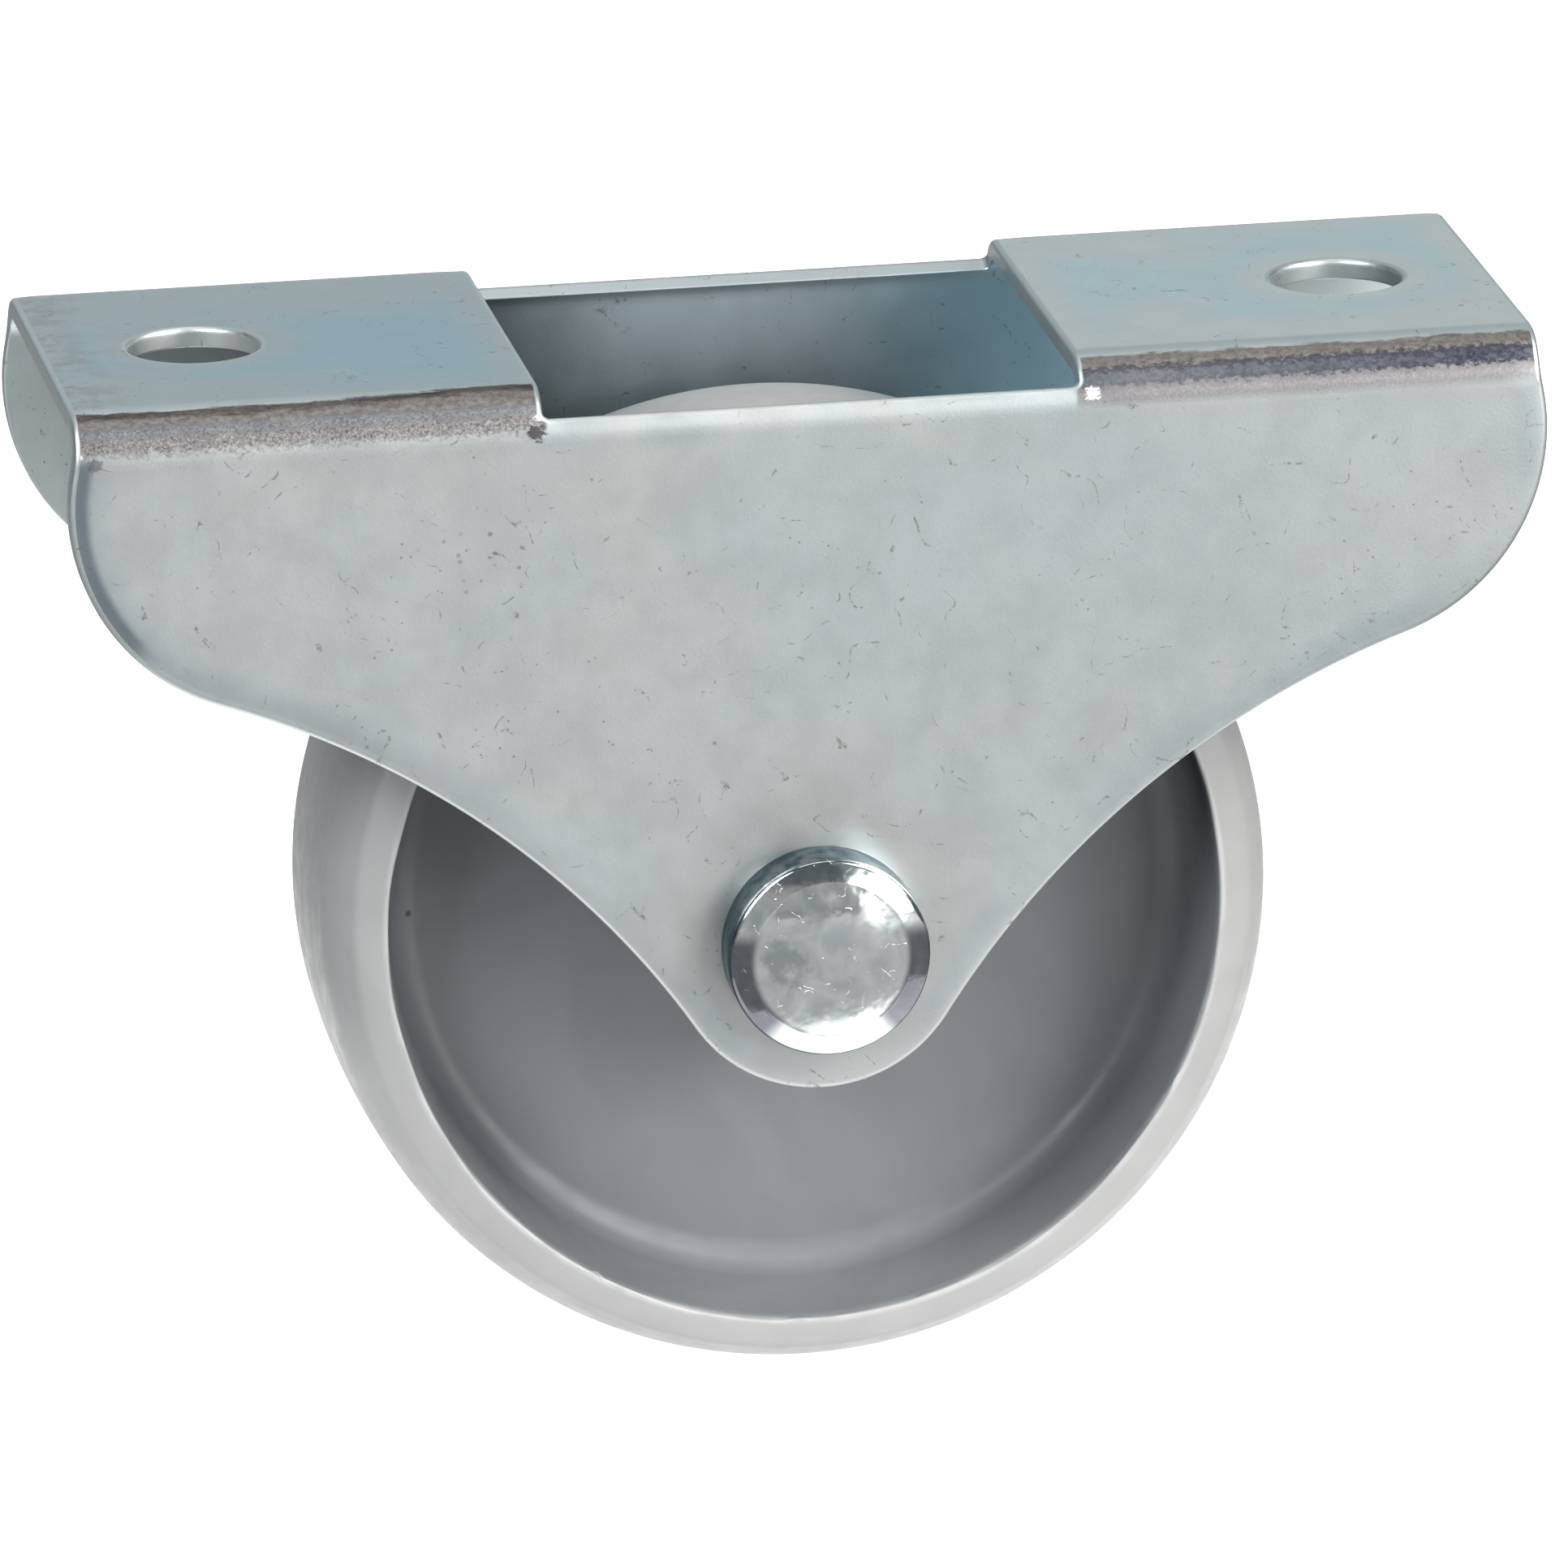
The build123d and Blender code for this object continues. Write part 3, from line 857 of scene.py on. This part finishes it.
def zinc_finish():
    s = ZincPlate()
    tint, brown = s.folds(s.inner_sides_painted_shade(s.tabs(s.legs())))
    s.feed("Base Color", s.scratches(s.marks(s.edges(tint))))
    s.set(Metallic=1.0)
    rough = s.span(s.noise(0.5, 4.0, 0.65), 0.3, 0.7, 0.40, 0.45)
    s.feed("Roughness", s.math("ADD", rough, s.math("MULTIPLY", brown, 0.08)))
    wave = s.bump(s.noise(0.12, 1.0, 0.5), 0.012)
    s.feed("Normal", s.bump(s.noise(7.0, 2.0, 0.6), 0.004, wave))
    return s.material


# A black speck on the wheel's web: its place beside and above the axle
BLACK_SPECK = (-15.9, -0.3)


def plastic_finish():
    """Light grey polypropylene: a soft waxy sheen with faint flow marks and dust, painted shade in the recess and
    on the tread, and a painted highlight along the recess's mouth.
    """
    s = Shader("grey_plastic")
    x, y, z = s.parts(s.place)
    radius = s.radius()
    flow = s.noise(0.12, 3.0, 0.5, 1.5)
    flow_marks = s.span(flow, 0.35, 0.65)
    tint = s.mix(flow_marks, (0.250, 0.249, 0.248), (0.270, 0.268, 0.267))
    # Painted shade: the recess is darker than the rim
    recess = s.fade(radius, MOUTH_RADIUS - 0.12, MOUTH_RADIUS + 0.02)
    tint = s.mix(recess, tint, s.mix(flow_marks, (0.122, 0.130, 0.137), (0.134, 0.142, 0.149)))
    # Painted shade: the tread is a little darker, with a ragged edge
    scuffed = s.span(s.noise(0.8, 3.0, 0.7), 0.3, 0.7, -0.15, 0.15)
    tread = s.span(s.math("ADD", radius, scuffed), SHOULDER_RADIUS, wheel_radius - 0.2)
    tint = s.mix(s.math("MULTIPLY", tread, 0.06), tint, (0.15, 0.148, 0.145))
    # Painted highlight: a pale thin line along the recess's mouth
    mouth = s.math("MULTIPLY", s.span(radius, MOUTH_RADIUS - 0.06, MOUTH_RADIUS),
                   s.fade(radius, MOUTH_RADIUS + 0.1, MOUTH_RADIUS + 0.3))
    mouth = s.math("MULTIPLY", mouth, s.span(s.noise(0.35, 2.0, 0.6), 0.35, 0.6, 0.15, 0.8))
    tint = s.mix(mouth, tint, (0.36, 0.36, 0.36))
    dusty = s.math("GREATER_THAN", s.noise(0.5, 1.0), 0.6)
    dust = s.math("MULTIPLY", s.fade(s.cells(1.3), 0.02, 0.05), dusty)
    tint = s.mix(s.math("MULTIPLY", dust, 0.5), tint, (0.1, 0.095, 0.09))
    speck_place = (BLACK_SPECK[0], axle_z + BLACK_SPECK[1])
    speck = s.spot(x, z, speck_place, 0.22, s.fade(y, -1.0, 0.0), flow, 0.5)
    s.feed("Base Color", s.mix(speck, tint, (0.02, 0.02, 0.02)))
    s.feed("Roughness", s.span(s.noise(0.9, 4.0, 0.6), 0.3, 0.7, 0.36, 0.5))
    s.feed("Normal", s.bump(s.noise(0.3, 2.0, 0.5), 0.04))
    return s.material


# The rivet's head: how far the painted dark reflection on its side reaches from the leg, and a stain's place on
# its face
DRUM_SIDE = 2.3
STAIN = (-2.0, 0.1)


def rivet_finish():
    """Bright plated steel, mirror-like, with soft dents from the press, fine scuffs, and painted dark reflections
    on the left of its drum and on the sides of its bevel.
    """
    s = Shader("bright_plate")
    x, y, z = s.parts(s.place)
    radius = s.radius()
    cloud = s.noise(0.5, 3.0, 0.6, 0.8)
    tint = s.mix(s.span(cloud, 0.35, 0.65), (0.60, 0.645, 0.655), (0.82, 0.83, 0.83))
    stain = s.spot(x, z, (STAIN[0], axle_z + STAIN[1]), 1.3, 1.0, s.noise(1.2, 3.0, 0.7), 0.2)
    tint = s.mix(s.math("MULTIPLY", stain, 0.65), tint, (0.34, 0.38, 0.37))
    # A painted dark reflection, tinted teal, on the left of the drum's side
    side = s.all_of(s.span(radius, rivet_high.x - 0.15, rivet_high.x - 0.05),
                    s.span(y, -half_width - DRUM_SIDE, -half_width - DRUM_SIDE + 0.2),
                    s.fade(x, 0.6, 2.2), s.span(s.noise(0.8, 3.0, 0.7), 0.35, 0.6, 1.0, 0.55))
    tint = s.mix(s.math("MULTIPLY", side, 0.92), tint, (0.10, 0.135, 0.15))
    # Painted reflection: the bevel is dark on its sides, away from the top, where it would mirror a dark room
    sideways = s.span(s.math("DIVIDE", s.math("ABSOLUTE", x), s.math("MAXIMUM", radius, 0.5)), 0.52, 0.72)
    bevel = s.all_of(s.span(radius, HEAD_FACE_RADIUS - 0.25, HEAD_FACE_RADIUS + 0.1),
                     s.fade(y, -half_width - 1.7, -half_width - 1.4), sideways,
                     s.fade(z, axle_z + 0.7, axle_z + 1.6), s.span(cloud, 0.3, 0.6, 0.75, 0.95))
    s.feed("Base Color", s.mix(bevel, tint, (0.14, 0.15, 0.17)))
    s.set(Metallic=1.0, Specular_Tint=(0.42, 0.50, 0.53, 1.0))
    scuffs = s.hairs(1.1, 0.004, 0.58, 5.0)
    rough = s.span(s.noise(0.9, 3.0, 0.6), 0.4, 0.7, 0.1, 0.2)
    s.feed("Roughness", s.math("ADD", rough, s.math("MULTIPLY", scuffs, 0.15)))
    dents = s.bump(s.noise(0.5, 3.0, 0.5, 0.3), 0.035)
    fine = s.bump(s.noise(6.0, 2.0, 0.5), 0.001, dents)
    s.feed("Normal", s.bump(scuffs, 0.005, fine))
    return s.material


# The camera, as the photograph was taken: its angles, its distance and its focal length in picture widths
CAMERA_AZIMUTH = math.radians(-9.418)
CAMERA_ELEVATION = math.radians(16.435)
CAMERA_ROLL = math.radians(0.978)
CAMERA_DISTANCE = 764.2
CAMERA_TARGET = Vector((0.35, 0, axle_z + 3.68))
FOCAL_LENGTH_IN_WIDTHS = 11.678

# The floor, and the strip of it that glows
FLOOR_HALF = 1500.0
FLOOR_GREY = (0.25, 0.25, 0.25)
BLACK = (0.0, 0.0, 0.0)
GLOW = 1.72
GLOW_SIDE = (37.0, 43.0)
GLOW_SPREAD = 0.05
GLOW_FRONT = (-37.0, -34.5)
GLOW_BACK = (300.0, 380.0)

# The room round the object: its colour, then each wall's colour and its soft edges in the view's direction,
# ahead, above and aside
ROOM = (0.10, 0.115, 0.125)
WALLS = (
    ((0.56, 0.64, 0.67), (0.0, 0.2, 0.0, 1.0), (0.86, 0.95), (0.5, 0.8)),
    ((0.35, 0.37, 0.37), (-0.85, -0.65, 1.0, 0.0), (0.22, 0.32), (0.5, 0.7)),
)

# Area lights, all aimed at one target: place, width and height, watts and colour
LIGHT_TARGET = (0, 0, -20)
LIGHTS = {
    "right": ((470, -340, 380), (280, 480), 7.6, (1.0, 0.99, 0.97)),
    "left": ((-410, -420, 380), (280, 480), 5.8, (0.96, 0.98, 1.0)),
    "top": ((0, 60, 620), (300, 300), 0.7, (1.0, 1.0, 1.0)),
    "card": ((262, -419, 54), (200, 150), 1.0, (1.0, 1.0, 1.0)),
}


def floor_finish():
    """A pale table top with a strip that glows under and behind the object, as a light table does."""
    s = Shader("pale_floor")
    s.set(Roughness=1.0, Specular_IOR_Level=0.0, Emission_Color=(1.0, 1.0, 1.0, 1.0))
    aside, along, _ = s.parts(s.stretched(1, 1, 1, (0, 0, -CAMERA_AZIMUTH)))
    aside = s.math("SUBTRACT", s.math("ABSOLUTE", aside), s.math("MULTIPLY", along, GLOW_SPREAD))
    strip = s.all_of(s.fade(aside, *GLOW_SIDE), s.span(along, *GLOW_FRONT), s.fade(along, *GLOW_BACK))
    s.feed("Base Color", s.mix(strip, FLOOR_GREY, BLACK))
    s.feed("Emission Strength", s.math("MULTIPLY", strip, GLOW))
    return s.material


# Pieces
bracket = make_bracket()
wheel = make_wheel()
rivet = make_rivet()
for piece, body, node_name, slot, finish in (
    (bracket, "frame", "bracket", "zinc_steel", zinc_finish),
    (wheel, "wheel", "wheel", "grey_plastic", plastic_finish),
    (rivet, "frame", "axle_rivet", "bright_steel", rivet_finish),
):
    material = finish()
    piece.data.materials.append(material)
    frame["nodes"][node_name].data.materials.clear()
    frame["nodes"][node_name].data.materials.append(material)
    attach(piece, body)
    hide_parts(node_name)


# Floor, light and camera
def make_floor():
    mesh = bpy.data.meshes.new("floor")
    corners = [(-FLOOR_HALF, -FLOOR_HALF), (FLOOR_HALF, -FLOOR_HALF), (FLOOR_HALF, FLOOR_HALF),
               (-FLOOR_HALF, FLOOR_HALF)]
    mesh.from_pydata([(x, y, floor_z) for x, y in corners], [], [(0, 1, 2, 3)])
    made = as_object("floor", mesh)
    made.data.materials.append(floor_finish())


def make_world():
    """A dim room with a pale wall behind the object and a grey one in front, both low, and a dark ceiling."""
    world = bpy.data.worlds.new("studio")
    world.use_nodes = True
    s = Nodes(world.node_tree)
    direction = s.new("TexCoord")
    aside, ahead, up = s.parts(direction.outputs["Generated"])
    aside = s.math("ABSOLUTE", aside)
    colour = ROOM
    for wall, where, height, width in WALLS:
        share = s.all_of(s.span(ahead, *where), s.fade(up, *height), s.fade(aside, *width))
        colour = s.mix(share, colour, wall)
    s.put(s.tree.nodes["Background"].inputs["Color"], colour)
    bpy.context.scene.world = world


def make_light(name, place, size, power, colour):
    """An area light of a width and height at a place, in millimetres, aimed at the object."""
    data = bpy.data.lights.new(name, "AREA")
    data.shape = "RECTANGLE"
    data.size, data.size_y = size[0] * MM, size[1] * MM
    data.energy = power
    data.color = colour
    made = bpy.data.objects.new(name, data)
    bpy.context.scene.collection.objects.link(made)
    made.location = Vector(place) * MM
    made.rotation_euler = (Vector(LIGHT_TARGET) - Vector(place)).to_track_quat("-Z", "Y").to_euler()


def make_camera():
    data = bpy.data.cameras.new("camera")
    data.sensor_width = 36.0
    data.lens = data.sensor_width * FOCAL_LENGTH_IN_WIDTHS
    data.clip_start, data.clip_end = 0.01, 20.0
    made = bpy.data.objects.new("camera", data)
    bpy.context.scene.collection.objects.link(made)
    right = Vector((math.cos(CAMERA_AZIMUTH), math.sin(CAMERA_AZIMUTH), 0))
    level = Vector((right.y, -right.x, 0)) * math.cos(CAMERA_ELEVATION)
    back = level + Vector((0, 0, math.sin(CAMERA_ELEVATION)))
    up = back.cross(right)
    tilted_right = math.cos(CAMERA_ROLL) * right - math.sin(CAMERA_ROLL) * up
    tilted_up = math.sin(CAMERA_ROLL) * right + math.cos(CAMERA_ROLL) * up
    turned = Matrix((tilted_right, tilted_up, back)).transposed().to_4x4()
    turned.translation = (CAMERA_TARGET + back * CAMERA_DISTANCE) * MM
    made.matrix_world = turned
    bpy.context.scene.camera = made


make_floor()
make_world()
for name, (place, size, power, colour) in LIGHTS.items():
    make_light(name, place, size, power, colour)
make_camera()
bpy.context.scene.view_settings.view_transform = "Standard"
